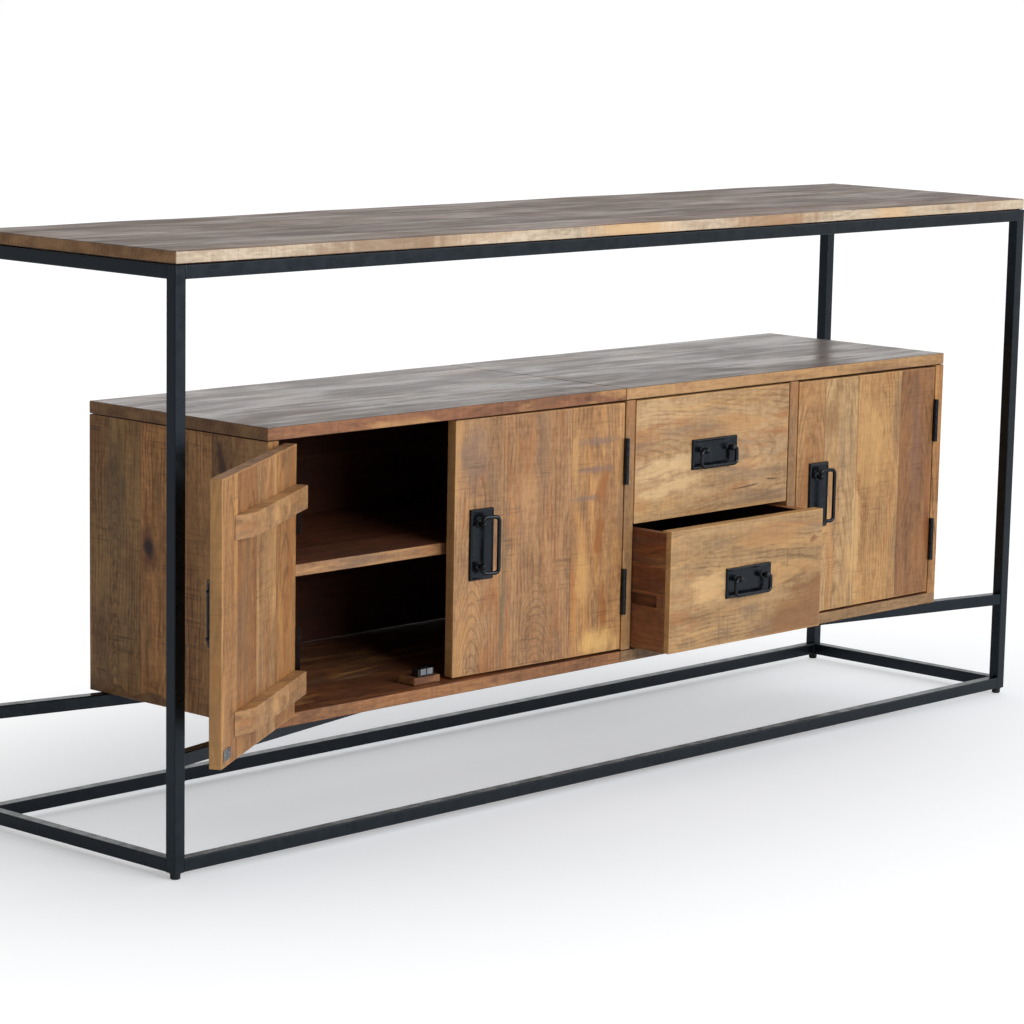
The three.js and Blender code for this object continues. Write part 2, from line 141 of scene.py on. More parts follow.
class Graph:
    """A material's nodes, with one short call for each kind used here."""

    def __init__(self, name):
        self.material = bpy.data.materials.new(name)
        self.material.use_nodes = True
        self.nodes = self.material.node_tree.nodes
        self.links = self.material.node_tree.links
        self.surface = self.nodes["Principled BSDF"]

    def node(self, kind, **settings):
        made = self.nodes.new("ShaderNode" + kind)
        for name, value in settings.items():
            setattr(made, name, value)
        return made

    def put(self, socket, value):
        if isinstance(value, bpy.types.NodeSocket):
            self.links.new(value, socket)
        else:
            socket.default_value = value

    def math(self, operation, a, b=0.0, clamp=False):
        made = self.node("Math", operation=operation, use_clamp=clamp)
        self.put(made.inputs[0], a)
        self.put(made.inputs[1], b)
        return made.outputs[0]

    def vector(self, x, y, z):
        made = self.node("CombineXYZ")
        for socket, value in zip(made.inputs, (x, y, z)):
            self.put(socket, value)
        return made.outputs[0]

    def noise(self, vector, detail=2.0, roughness=0.5, distortion=0.0):
        made = self.node("TexNoise")
        self.put(made.inputs["Vector"], vector)
        self.put(made.inputs["Scale"], 1.0)
        self.put(made.inputs["Detail"], detail)
        self.put(made.inputs["Roughness"], roughness)
        self.put(made.inputs["Distortion"], distortion)
        return made.outputs["Fac"]

    def fade(self, value, start, end, low=0.0, high=1.0):
        """low where value is start, high where it is end, smooth between."""
        made = self.node("MapRange", interpolation_type="SMOOTHSTEP", clamp=True)
        settings = {"Value": value, "From Min": start, "From Max": end, "To Min": low, "To Max": high}
        for name, setting in settings.items():
            self.put(made.inputs[name], setting)
        return made.outputs["Result"]

    def steps(self, value, colours):
        """colours is [(where it ends, colour)], held flat between."""
        ramp = self.node("ValToRGB")
        ramp.color_ramp.interpolation = "CONSTANT"
        self.put(ramp.inputs[0], value)
        start = 0.0
        for number, (end, colour) in enumerate(colours):
            stops = ramp.color_ramp.elements
            stop = stops[number] if number < 2 else stops.new(start)
            stop.position = start
            stop.color = colour
            start = end
        if len(colours) == 1:
            ramp.color_ramp.elements[1].color = colours[0][1]
        return ramp.outputs["Color"]

    def mix(self, factor, a, b, blend="MIX"):
        made = self.node("Mix", data_type="RGBA", blend_type=blend, clamp_factor=True)
        self.put(made.inputs[0], factor)
        self.put(made.inputs[6], a)
        self.put(made.inputs[7], b)
        return made.outputs[2]

    def bump(self, height, strength, distance):
        made = self.node("Bump")
        self.put(made.inputs["Strength"], strength)
        self.put(made.inputs["Distance"], distance)
        self.put(made.inputs["Height"], height)
        self.put(self.surface.inputs["Normal"], made.outputs["Normal"])


def grain_of(graph, node=None, order="xyz"):
    """Sockets (u along the grain, v across it, w through the board), in metres from a corner.
    A rebuilt board carries them as an attribute, and a CAD node's come from its own coordinates."""
    apart = graph.node("SeparateXYZ")
    if node is None:
        read = graph.node("Attribute", attribute_name="grain")
        graph.put(apart.inputs[0], read.outputs["Vector"])
        return apart.outputs
    shift = graph.node("VectorMath", operation="SUBTRACT")
    graph.put(shift.inputs[0], graph.node("TexCoord").outputs["Object"])
    graph.put(shift.inputs[1], tuple(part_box(node)[0]))
    graph.put(apart.inputs[0], shift.outputs[0])
    return [apart.outputs["xyz".index(axis)] for axis in order]


RINGS_PER_METRE = 150.0
# the dark lines in the wood
ARCH_LINE, PORE_LINE, SAW_LINE, SEAM_LINE = "#5a3a22", "#43260f", "#3d200e", "#33200f"
# near black, painted on the inner faces of a drawer box as shade
PAINTED_SHADE_INSIDE = "#1d0e08"


def wood(name, boards, light, dark, across, saw=0.5, figure=0.5, patches=(), seed=0.0, arches=(),
         inside=None, rough=0.5, sheen=0.07, coat=0.0, hues=("#a4652f", "#75604f"), gold="#d3a264",
         length=0.0, node=None, order="xyz"):
    """Sawn, lacquered mango wood between a light and a dark tone, with clouds of the two hues and gold.
    boards is [(fraction of the width where it ends, tint)], across is that width in metres. saw and
    figure are the strengths of the saw marks and the growth rings. patches is [(u, v, half length, half
    width, degrees, colour, strength)], arches is [(u of the tip, v of the middle, half width at the
    foot, spacing)], and inside is the wall thickness of a box whose inner faces are painted near black as
    shade. Roughness is rough plus or minus sheen. With a length, the face's edges are painted lighter, a
    painted highlight together with rubbed wear."""
    graph = Graph(name)
    u, v, w = grain_of(graph, node, order)
    m, noise_at = graph.math, graph.noise

    def at(u_scale, v_scale, shifted=0.0):
        """Where a noise is read: u and v, w times their scales, moved on for each board."""
        return graph.vector(m("ADD", m("MULTIPLY", u, u_scale), m("ADD", shift, shifted)),
                            m("MULTIPLY", v, v_scale), m("MULTIPLY", w, v_scale))

    place = m("DIVIDE", v, across)
    starts = [0.0] + [end for end, _ in boards[:-1]]
    tint = graph.steps(place, [(end, srgb(colour)) for end, colour in boards])
    middle = graph.steps(place, [(end, grey((start + end) / 2)) for start, (end, _) in zip(starts, boards)])
    own = graph.steps(place, [(end, grey((0.13 + 0.37 * k) % 1.0)) for k, (end, _) in enumerate(boards)])
    shift = m("ADD", m("MULTIPLY", own, 9.0), seed)

    # growth rings, which are cones about a pith that lies a little behind the board and leans
    wander = noise_at(at(6.0, 16.0), 3.0, 0.55)
    lean = m("MULTIPLY", m("SINE", m("MULTIPLY", shift, 2.7)), 0.16)
    behind = m("ADD", m("ADD", m("MULTIPLY", u, lean), 0.012), w)
    off = m("SUBTRACT", v, m("MULTIPLY", middle, across))
    radius = m("SQRT", m("ADD", m("MULTIPLY", off, off), m("MULTIPLY", behind, behind)))
    turns = m("ADD", m("MULTIPLY", radius, RINGS_PER_METRE), m("MULTIPLY", wander, 3.0))
    wave = m("SINE", m("MULTIPLY", turns, math.tau))
    ring = m("MULTIPLY", graph.fade(wave, 0.2, 1.0), graph.fade(noise_at(at(7.0, 13.0, 4.0)), 0.36, 0.62))
    # long pores, streaks, mottle and a ripple across the grain
    fibre = noise_at(at(16.0, 430.0), 2.0, 0.6)
    streak = noise_at(at(3.4, 70.0), 3.0, 0.6)
    mottle = noise_at(at(60.0, 170.0), 4.0, 0.7)
    ripple = noise_at(graph.vector(m("MULTIPLY", u, 170.0), m("MULTIPLY", v, 24.0), shift), 3.0, 0.6, 0.4)
    cloud = noise_at(at(5.0, 15.0), 4.0, 0.6, 0.6)
    # marks of the saw, across the board
    teeth = noise_at(graph.vector(m("MULTIPLY", u, 420.0), m("MULTIPLY", v, 11.0), shift), 1.0, 0.5)
    coarse = noise_at(graph.vector(m("MULTIPLY", u, 110.0), m("MULTIPLY", v, 7.0), shift), 2.0, 0.6)
    where = graph.fade(noise_at(at(9.0, 14.0, 3.0), 2.0), 0.44, 0.62)
    cut = m("MULTIPLY", graph.fade(teeth, 0.56, 0.78), where)
    groove = m("MULTIPLY", graph.fade(coarse, 0.6, 0.74), where)

    # how dark each point is, then colour clouds, boards, patches, arches and dark lines over it
    tone = m("ADD", m("MULTIPLY", graph.fade(cloud, 0.34, 0.66), 0.46), m("MULTIPLY", ring, 0.42 * figure))
    tone = m("ADD", tone, m("MULTIPLY", graph.fade(streak, 0.38, 0.68), 0.26))
    tone = m("ADD", tone, graph.fade(mottle, 0.3, 0.7, -0.24, 0.28))
    tone = m("ADD", tone, graph.fade(ripple, 0.35, 0.68, -0.06, 0.14), clamp=True)
    colour = graph.mix(tone, srgb(light), srgb(dark))
    for number, (shade, amount) in enumerate(zip((*hues, gold), (0.6, 0.55, 0.5))):
        spread = noise_at(at(3.6, 19.0, 5.0 * number + 2.0), 5.0, 0.66, 0.9)
        colour = graph.mix(graph.fade(spread, 0.51, 0.68, 0.0, amount), colour, srgb(shade))
    colour = graph.mix(1.0, colour, tint, "MULTIPLY")
    ragged_at = graph.vector(m("MULTIPLY", u, 30.0), m("MULTIPLY", v, 60.0), m("ADD", w, seed))
    ragged = noise_at(ragged_at, 4.0, 0.65)
    for at_u, at_v, half_u, half_v, degrees, shade, strength in patches:
        cos, sin = math.cos(math.radians(degrees)), math.sin(math.radians(degrees))
        du, dv = m("SUBTRACT", u, at_u), m("SUBTRACT", v, at_v)
        along = m("ADD", m("MULTIPLY", du, cos / half_u), m("MULTIPLY", dv, sin / half_u))
        over = m("SUBTRACT", m("MULTIPLY", dv, cos / half_v), m("MULTIPLY", du, sin / half_v))
        reach = m("SQRT", m("ADD", m("MULTIPLY", along, along), m("MULTIPLY", over, over)))
        reach = m("ADD", reach, m("MULTIPLY", m("SUBTRACT", ragged, 0.5), 2.0))
        colour = graph.mix(graph.fade(reach, 1.2, 0.4, 0.0, strength), colour, srgb(shade))
    for tip, centre, foot, spacing in arches:
        dv = m("SUBTRACT", v, centre)
        bend = m("ADD", u, m("MULTIPLY", m("MULTIPLY", dv, dv), tip / foot**2))
        bend = m("ADD", m("DIVIDE", bend, spacing), m("MULTIPLY", wander, 1.6))
        line = graph.fade(m("SINE", m("MULTIPLY", bend, math.tau)), 0.35, 1.0)
        aside = m("ABSOLUTE", m("DIVIDE", dv, foot * 1.25))
        close = m("ADD", aside, m("MAXIMUM", m("DIVIDE", u, tip * 1.15), 0.0))
        line = m("MULTIPLY", line, graph.fade(m("ADD", close, m("MULTIPLY", ragged, 0.5)), 1.75, 1.1))
        colour = graph.mix(m("MULTIPLY", line, 0.34), colour, srgb(ARCH_LINE))
    colour = graph.mix(m("MULTIPLY", graph.fade(fibre, 0.54, 0.78), 0.28), colour, srgb(PORE_LINE))
    colour = graph.mix(m("MULTIPLY", m("MAXIMUM", cut, groove), 0.45 * saw), colour, srgb(SAW_LINE))
    for end, _ in boards[:-1]:
        beside = m("ABSOLUTE", m("SUBTRACT", m("MULTIPLY", m("SUBTRACT", place, end), across),
                                 m("MULTIPLY", m("SUBTRACT", wander, 0.5), 0.0012)))
        colour = graph.mix(graph.fade(beside, 0.0011, 0.0003, 0.0, 0.5), colour, srgb(SEAM_LINE))
    # a painted edge highlight together with rubbed wear: the face is lightened towards gold near its edges
    if length:
        rubbed_wear_and_highlight = m("MINIMUM", u, m("SUBTRACT", length, u))
        rubbed_wear_and_highlight = m("MINIMUM", rubbed_wear_and_highlight, m("MINIMUM", v, m("SUBTRACT", across, v)))
        rubbed_wear_and_highlight = m("ADD", rubbed_wear_and_highlight, m("MULTIPLY", m("SUBTRACT", ragged, 0.5), 0.006))
        colour = graph.mix(graph.fade(rubbed_wear_and_highlight, 0.004, 0.0005, 0.0, 0.3), colour, srgb(gold))
    # painted shade: faces deeper than inside from the box's outer faces are made near black
    if inside:
        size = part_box(node)[1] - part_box(node)[0]
        painted_shade_depth = m("MINIMUM", w, m("SUBTRACT", size["xyz".index(order[2])], w))
        colour = graph.mix(m("GREATER_THAN", painted_shade_depth, inside), colour, srgb(PAINTED_SHADE_INSIDE))
    graph.put(graph.surface.inputs["Base Color"], colour)

    gloss = m("ADD", m("MULTIPLY", streak, 0.5), m("MULTIPLY", cloud, 0.5))
    gloss = graph.fade(gloss, 0.36, 0.64, rough - sheen, rough + sheen)
    graph.put(graph.surface.inputs["Roughness"], gloss)
    graph.surface.inputs["Coat Weight"].default_value = coat
    graph.surface.inputs["Coat Roughness"].default_value = 0.32
    relief = m("ADD", m("MULTIPLY", fibre, -0.3), m("MULTIPLY", m("ADD", cut, groove), -0.55 * saw))
    relief = m("ADD", relief, m("MULTIPLY", m("ADD", mottle, ripple), 0.35))
    graph.bump(m("ADD", relief, m("MULTIPLY", ring, -0.15)), 0.6, 0.0007)
    return graph.material


def end_grain(name, light, dark, seed):
    """The cut end of a board: arcs of growth rings, open pores and a rough, darker surface."""
    graph = Graph(name)
    _, v, w = grain_of(graph)
    m = graph.math
    swing = graph.noise(graph.vector(m("MULTIPLY", v, 9.0), m("MULTIPLY", w, 9.0), seed), 2.0)
    reach = m("SQRT", m("ADD", m("POWER", m("ADD", v, 0.04), 2.0), m("POWER", m("ADD", w, 0.05), 2.0)))
    wave = m("SINE", m("MULTIPLY", m("ADD", reach, m("MULTIPLY", swing, 0.02)), 900.0))
    pores = graph.noise(graph.vector(m("MULTIPLY", v, 900.0), m("MULTIPLY", w, 900.0), seed), 2.0, 0.7)
    cloud = graph.noise(graph.vector(m("MULTIPLY", v, 26.0), m("MULTIPLY", w, 40.0), seed), 3.0, 0.6)
    arcs = m("MULTIPLY", graph.fade(wave, -0.6, 1.0), 0.16)
    tone = m("ADD", arcs, m("MULTIPLY", graph.fade(cloud, 0.3, 0.7), 0.8))
    colour = graph.mix(tone, srgb(light), srgb(dark))
    colour = graph.mix(m("MULTIPLY", graph.fade(pores, 0.55, 0.75), 0.55), colour, srgb("#2e1a0d"))
    graph.put(graph.surface.inputs["Base Color"], colour)
    graph.put(graph.surface.inputs["Roughness"], graph.fade(pores, 0.3, 0.8, 0.5, 0.72))
    graph.bump(m("ADD", pores, m("MULTIPLY", wave, 0.2)), 0.4, 0.0004)
    return graph.material


def coated_metal(name, colour, worn, rough, metallic=0.0, pebble=900.0, wear=0.15, shine=(1.0, 1.0, 1.0)):
    """Paint, blacking or moulded plastic: a fine orange peel, cloudy gloss and faint rubbed places."""
    graph = Graph(name)
    at = graph.node("TexCoord").outputs["Object"]
    scaled = []
    for size in (pebble, 45.0, 9.0):
        made = graph.node("VectorMath", operation="SCALE")
        graph.put(made.inputs[0], at)
        graph.put(made.inputs["Scale"], size)
        scaled.append(graph.noise(made.outputs[0], 3.0, 0.55))
    peel, smudge, cloud = scaled
    m = graph.math
    rubbed = m("ADD", m("MULTIPLY", smudge, 0.6), m("MULTIPLY", cloud, 0.4))
    rubbed = m("MULTIPLY", graph.fade(rubbed, 0.5, 0.68), wear)
    graph.put(graph.surface.inputs["Base Color"], graph.mix(rubbed, srgb(colour), srgb(worn)))
    graph.put(graph.surface.inputs["Roughness"], graph.fade(smudge, 0.3, 0.7, rough - 0.06, rough + 0.08))
    graph.surface.inputs["Metallic"].default_value = metallic
    graph.surface.inputs["Specular Tint"].default_value = (*shine, 1.0)
    graph.bump(m("ADD", peel, m("MULTIPLY", smudge, 0.5)), 0.25, 0.00025)
    return graph.material


steel = coated_metal("black_powder_coat", "#06090d", "#1c232b", 0.3, shine=(0.7, 0.85, 1.0))
iron = coated_metal("blackened_iron", "#07090d", "#2c313b", 0.21, 0.2, 260.0, 0.35, (0.8, 0.9, 1.0))
zinc = coated_metal("zinc_plate", "#8d8f92", "#c4c6c8", 0.3, 1.0, 300.0, 0.4)
plastic = coated_metal("black_plastic", "#101113", "#26282b", 0.5, 0.0, 1200.0, 0.2)


# ---- meshes --------------------------------------------------------------------------------------
def finished(mesh, name):
    """The mesh data made from a bmesh, which is freed."""
    made = bpy.data.meshes.new(name)
    mesh.to_mesh(made)
    mesh.free()
    return made


def new_piece(name, mesh, body, materials, replaced=()):
    """A piece that was drawn with its door flush, put at rest and riding on its body."""
    carrier = joints[body]["parent"] if body.startswith("bail") else body
    mesh.transform(opened(carrier))
    for material in materials:
        mesh.materials.append(material)
    piece = bpy.data.objects.new(name, mesh)
    scene.collection.objects.link(piece)
    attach(piece, body)
    if replaced:
        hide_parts(*replaced)
    return piece


def soften(piece, width=0.0012, segments=3, weld=False):
    """Rounds the edges and lets the large faces set the shading."""
    if weld:
        piece.modifiers.new("weld", "WELD").merge_threshold = 1e-6
    if width:
        bevel = piece.modifiers.new("bevel", "BEVEL")
        bevel.width = width
        bevel.segments = segments
        bevel.limit_method = "ANGLE"
        bevel.angle_limit = math.radians(50)
    normals = piece.modifiers.new("normals", "WEIGHTED_NORMAL")
    normals.keep_sharp = True
    for polygon in piece.data.polygons:
        polygon.use_smooth = True


def block_mesh(low, high, cell):
    """The surface of a box as a grid of cells about that size, as bmesh."""
    size = [high[axis] - low[axis] for axis in range(3)]
    count = [max(1, round(length / cell)) for length in size]
    mesh = bmesh.new()
    made = {}

    def corner(key):
        if key not in made:
            made[key] = mesh.verts.new([low[a] + size[a] * key[a] / count[a] for a in range(3)])
        return made[key]

    for axis in range(3):
        a, b = (axis + 1) % 3, (axis + 2) % 3
        for side in (0, count[axis]):
            for i in range(count[a]):
                for j in range(count[b]):
                    ring = []
                    for di, dj in ((0, 0), (1, 0), (1, 1), (0, 1)):
                        key = [0, 0, 0]
                        key[axis], key[a], key[b] = side, i + di, j + dj
                        ring.append(corner(tuple(key)))
                    mesh.faces.new(ring if side else ring[::-1])
    return mesh


def board(name, low, high, order, body, face, end, cell=0.03, worn=0.0005, edge=0.0012,
          replaced=(), shape=None, waves=9.0, lip=None, origin=None):
    """A board whose grain runs along order[0], with faces planed by hand: they dip inwards by up to
    worn, in waves per metre. face, end and lip are the materials of its broad faces, its cut ends and its
    long narrow sides, origin is where its grain is measured from, and shape moves each vertex."""
    surface = block_mesh(low, high, cell)
    surface.normal_update()
    axes = ["xyz".index(letter) for letter in order]
    touching = 1e-7
    outward = {}
    for vertex in surface.verts:
        outward[vertex] = [
            (abs(vertex.co[a] - high[a]) < touching) - (abs(vertex.co[a] - low[a]) < touching)
            for a in range(3)
        ]
    for polygon in surface.faces:
        along = max(range(3), key=lambda a: abs(polygon.normal[a]))
        polygon.material_index = {axes[0]: 1, axes[1]: 2 if lip else 0, axes[2]: 0}[along]
    for vertex, sides in outward.items():
        start = vertex.co.copy()
        for a in range(3):
            if sides[a]:
                probe = start * waves + Vector((3.7 * a, 9.1 * sides[a], len(name)))
                vertex.co[a] -= sides[a] * worn * (0.5 + 0.5 * noise.noise(probe))
    mesh = finished(surface, name)
    co = np.zeros(len(mesh.vertices) * 3, np.float32)
    mesh.vertices.foreach_get("co", co)
    grain = (co.reshape(-1, 3) - np.array(origin or low))[:, axes]
    mesh.attributes.new("grain", "FLOAT_VECTOR", "POINT").data.foreach_set("vector", grain.ravel())
    if shape:
        for vertex in mesh.vertices:
            vertex.co = shape(vertex.co)
    piece = new_piece(name, mesh, body, [face, end] + ([lip] if lip else []), replaced)
    soften(piece, edge)
    return piece


def skin(mesh, rings, capped=False):
    """Quads between each ring of vertices and the next, and a face over each end if capped."""
    for first, second in zip(rings, rings[1:]):
        count = len(first)
        for k in range(count):
            mesh.faces.new((first[k], first[(k + 1) % count], second[(k + 1) % count], second[k]))
    if capped:
        mesh.faces.new(rings[0][::-1])
        mesh.faces.new(rings[-1])
    bmesh.ops.recalc_face_normals(mesh, faces=mesh.faces)


def swept_tube(name, path, radius, sides=14):
    """A round rod along points, closed at both ends."""
    mesh = bmesh.new()
    rings = []
    count = len(path)
    side = Vector((0, 1, 0))
    for number, point in enumerate(path):
        ahead = path[min(number + 1, count - 1)] - path[max(number - 1, 0)]
        across = ahead.cross(side).normalized()
        lift = across.cross(ahead).normalized()
        rings.append([
            mesh.verts.new(point + radius * (math.cos(t) * across + math.sin(t) * lift))
            for t in (math.tau * k / sides for k in range(sides))
        ])
    skin(mesh, rings, capped=True)
    return finished(mesh, name)


def turned(profile, sides=24):
    """A solid of revolution about Z from (radius, height) points, as bmesh."""
    mesh = bmesh.new()
    rings = []
    for radius, height in profile:
        if radius == 0:
            rings.append([mesh.verts.new((0, 0, height))])
        else:
            rings.append([
                mesh.verts.new((radius * math.cos(t), radius * math.sin(t), height))
                for t in (math.tau * k / sides for k in range(sides))
            ])
    for first, second in zip(rings, rings[1:]):
        for k in range(sides):
            ring = [first[k % len(first)], first[(k + 1) % len(first)]]
            ring += [second[(k + 1) % len(second)], second[k % len(second)]]
            ring = list(dict.fromkeys(ring))
            if len(ring) > 2:
                mesh.faces.new(ring)
    bmesh.ops.recalc_face_normals(mesh, faces=mesh.faces)
    return mesh


def rounded_rectangle(half_x, half_y, radius, steps=5):
    """Points round a rectangle with rounded corners, anticlockwise."""
    points = []
    for quarter, (sx, sy) in enumerate(((1, 1), (-1, 1), (-1, -1), (1, -1))):
        for step in range(steps + 1):
            t = math.pi / 2 * (quarter + step / steps)
            x = sx * (half_x - radius) + radius * math.cos(t)
            points.append((x, sy * (half_y - radius) + radius * math.sin(t)))
    return points


def stepped_plate(half_x, half_y, corner, profile):
    """A plate as bmesh, of rounded rectangles: profile is (inset, height) from its back to its face."""
    mesh = bmesh.new()
    rings = []
    for inset, height in profile:
        radius = max(corner - inset, 0.0003)
        rings.append([
            mesh.verts.new((x, y, height))
            for x, y in rounded_rectangle(half_x - inset, half_y - inset, radius)
        ])
    skin(mesh, rings, capped=True)
    return mesh


def join_into(target, source, matrix):
    """Adds a bmesh to another, moved by matrix, and frees it."""
    source.transform(matrix)
    made = bpy.data.meshes.new("part")
    source.to_mesh(made)
    source.free()
    target.from_mesh(made)
    bpy.data.meshes.remove(made)


# ---- steel frame ---------------------------------------------------------------------------------
def keep(node, material, edge=0.0):
    """A CAD node that stays as it is, with a finish."""
    piece = frame["nodes"][node]
    for holder in piece.material_slots:
        holder.material = material
    soften(piece, edge, 2, weld=True)


TUBE_CORNER = 2 * MM
BEAD_STEP = 1.3 * MM
BEAD_SIDES = 8
# a bead's mean radius, its ripple and its lumps, in millimetres
BEAD_RADIUS, BEAD_RIPPLE, BEAD_LUMPS = 1.25, 0.35, 0.35


def weld_bead(name, centre, axis, half):
    """A run of weld round the end of a square tube that meets a face square to that axis."""
    unit = Matrix.Identity(3)
    u, v = [unit[other] for other in range(3) if other != axis]
    path = rounded_rectangle(half, half, TUBE_CORNER, 4)
    points = []
    for (x0, y0), (x1, y1) in zip(path, path[1:] + path[:1]):
        steps = max(1, round(math.hypot(x1 - x0, y1 - y0) / BEAD_STEP))
        points += [(x0 + (x1 - x0) * k / steps, y0 + (y1 - y0) * k / steps) for k in range(steps)]
    mesh = bmesh.new()
    rings = []
    for number, (x, y) in enumerate(points):
        middle = centre + x * u + y * v
        out = (x * u + y * v).normalized()
        ripple = 0.5 + 0.5 * math.sin(number * 1.9)
        radius = (BEAD_RADIUS + BEAD_RIPPLE * ripple + BEAD_LUMPS * noise.noise(middle * 160)) * MM
        rings.append([
            mesh.verts.new(middle + radius * (math.cos(t) * out + math.sin(t) * unit[axis]))
            for t in (math.tau * k / BEAD_SIDES for k in range(BEAD_SIDES))
        ])
    for vertex in mesh.verts:
        vertex.co.y = min(vertex.co.y, cad_high.y - 0.05 * MM)  # ground flush on the frame's back
    skin(mesh, rings + rings[:1])
    piece = new_piece(name, finished(mesh, name), "stand", [steel])
    soften(piece, 0)


for node in frame["record"]["behaviour"]["bodies"]["stand"]:
    if node.startswith(("post_", "top_rail", "bottom_rail", "brace")):
        keep(node, steel)
    if node.startswith("foot_glide"):
        keep(node, plastic)
for level in ("top", "bottom"):
    for side, axis in (("front", 0), ("back", 0), ("left", 1), ("right", 1)):
        low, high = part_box(f"{level}_rail_{side}")
        middle = (low + high) / 2
        for end, place in (("a", low), ("b", high)):
            centre = middle.copy()
            centre[axis] = place[axis]
            weld_bead(f"weld_{level}_{side}_{end}", centre, axis, (high.z - low.z) / 2 - 0.9 * MM)

# ---- table top -----------------------------------------------------------------------------------
top_low, top_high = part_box("table_top")
post_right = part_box("post_front_right")[1].x
top_boards = [(0.21, "#fff4ea"), (0.47, "#dccfc4"), (0.72, "#fffaf4"), (1.0, "#e3d6cb")]
top_face = wood("table_top_wood", top_boards, "#7d6754", "#503d2e", top_high.y - top_low.y, saw=0.6,
                rough=0.5, sheen=0.13, hues=("#7a4a32", "#524b45"), gold="#957d64", seed=2.0)
top_lip = wood("table_top_lip", [(1.0, "#ffffff")], "#d6c3aa", "#a08c74", top_high.y - top_low.y, saw=0.8,
               seed=3.0, hues=("#bf9f7d", "#a08264"), gold="#d9c4a6", patches=[
                   (0.42, 0.0, 0.16, 0.03, 4, "#7a5433", 0.6), (0.95, 0.0, 0.1, 0.03, 0, "#d3a873", 0.7),
                   (1.30, 0.0, 0.12, 0.03, 0, "#9a683c", 0.6), (1.62, 0.0, 0.05, 0.03, 0, "#d9b283", 0.6)])
top_end = end_grain("table_top_end", "#b98a5c", "#805731", 5.0)


def out_of_square(co):
    """The right-hand end's back corner reaches further than its front corner."""
    reach = top_high.x - (post_right - 1 * MM)
    sheared = 0.25
    share = max(0.0, (co.x - (top_high.x - sheared)) / sheared)
    return Vector((co.x - share * reach * (top_high.y - co.y) / (top_high.y - top_low.y), co.y, co.z))


board("top_boards", top_low, top_high, "xyz", "stand", top_face, top_end, cell=0.022, worn=1.6 * MM,
      edge=2.2 * MM, replaced=["table_top"], shape=out_of_square, waves=6.0, lip=top_lip)

# ---- cabinet -------------------------------------------------------------------------------------
case_low, case_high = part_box("cabinet_top")
side_low, side_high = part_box("cabinet_side_left")
depth = case_high.y - case_low.y
thickness = side_high.x - side_low.x
CUT_LIGHT, CUT_DARK = "#a5784a", "#6b4526"
PLAIN = [(1.0, "#ffffff")]
case_end = end_grain("case_end", CUT_LIGHT, CUT_DARK, 1.0)
# the top and the bottom are each two lengths joined end to end over the left partition
join_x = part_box("partition_left")[0].x
cover_boards = [(0.3, "#f4e6da"), (0.62, "#ffffff"), (1.0, "#efe2d4")]
cover = wood("cover_wood", cover_boards, "#76604f", "#493629", depth, rough=0.36, sheen=0.12, coat=0.25,
             hues=("#7c4a34", "#5a5048"), seed=11.0, patches=[(0.12, 0.2, 0.16, 0.16, 0, "#6b4032", 0.5)])
floor_low, floor_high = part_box("cabinet_bottom")
floor_top = floor_low.z + (case_high.z - case_low.z)
ledge = wood("floor_wood", cover_boards, "#7d5135", "#4b2b1a", depth, saw=0.8, seed=31.0)
joint_gap = 0.2 * MM
halves = {
    "left": dict(x=(case_low.x, join_x - joint_gap), cover=("#9a6541", "#623922"),
                 ledge=("#a06c40", "#603a20")),
    "right": dict(x=(join_x + joint_gap, case_high.x), cover=("#bd9262", "#8a633c"),
                  ledge=("#a17e54", "#6c4f33")),
}
parts = {
    "cover": ("cabinet_top", cover, case_low.z, case_high.z),
    "ledge": ("cabinet_bottom", ledge, floor_low.z, floor_top),
}
for side, half in halves.items():
    start, stop = half["x"]
    for part, (node, face, base, rise) in parts.items():
        light, dark = half[part]
        lip = wood(f"{part}_{side}_lip", PLAIN, light, dark, depth, saw=1.0, seed=start + 30.0,
                   hues=(light, "#6d4b31"))
        board(f"{part}_{side}", Vector((start, case_low.y, base)), Vector((stop, case_high.y, rise)), "xyz",
              "stand", face, case_end, cell=0.025, worn=0.8 * MM, edge=1.5 * MM,
              replaced=[node] if side == "left" else (), lip=lip, origin=case_low)

# painted light: the sides' wood is lighter than the doors' to make up for the weak light that falls on the
# cabinet's sides
side_boards = [(0.3, "#dccbb0"), (0.52, "#ead3b0"), (0.7, "#ffe2b8"), (1.0, "#ddd0b1")]
side_wood = wood("side_wood", side_boards, "#e6b680", "#8a613a", depth, saw=1.1, figure=1.3, seed=41.0,
                 hues=("#a87040", "#6c5940"), gold="#dcb078", patches=[
                     (0.24, 0.262, 0.045, 0.024, 5, "#7a4526", 0.75),
                     (0.24, 0.262, 0.016, 0.013, 10, "#2c140a", 0.95),
                     (0.385, 0.1, 0.035, 0.01, 12, "#432413", 0.8),
                     (0.12, 0.21, 0.1, 0.02, 0, "#c08d52", 0.6),
                     (0.22, 0.06, 0.16, 0.012, 3, "#5d4a33", 0.5),
                     (0.3, 0.34, 0.09, 0.03, 0, "#5f4a30", 0.45)],
                 arches=[(0.3, 0.34, 0.045, 0.02)])
for side in ("left", "right"):
    low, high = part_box(f"cabinet_side_{side}")
    board(f"side_{side}", low, high, "zyx", "stand", side_wood, case_end, worn=0.6 * MM,
          replaced=[f"cabinet_side_{side}"])

partition_wood = wood("partition_wood", PLAIN, "#a98154", "#785637", depth, saw=0.6, seed=53.0)
dark_boards = [(0.3, "#ffffff"), (0.66, "#e6d5c9"), (1.0, "#f5ebe2")]
# painted shade: the wood inside the cabinet is made very dark to stand in for the dim shade there
painted_shade_hues = dict(hues=("#4d291b", "#3d2c24"), gold="#5f3a28")
inner_wood = wood("inner_wood", dark_boards, "#5a3122", "#331a10", depth, saw=0.4, seed=61.0, rough=0.55,
                  **painted_shade_hues)
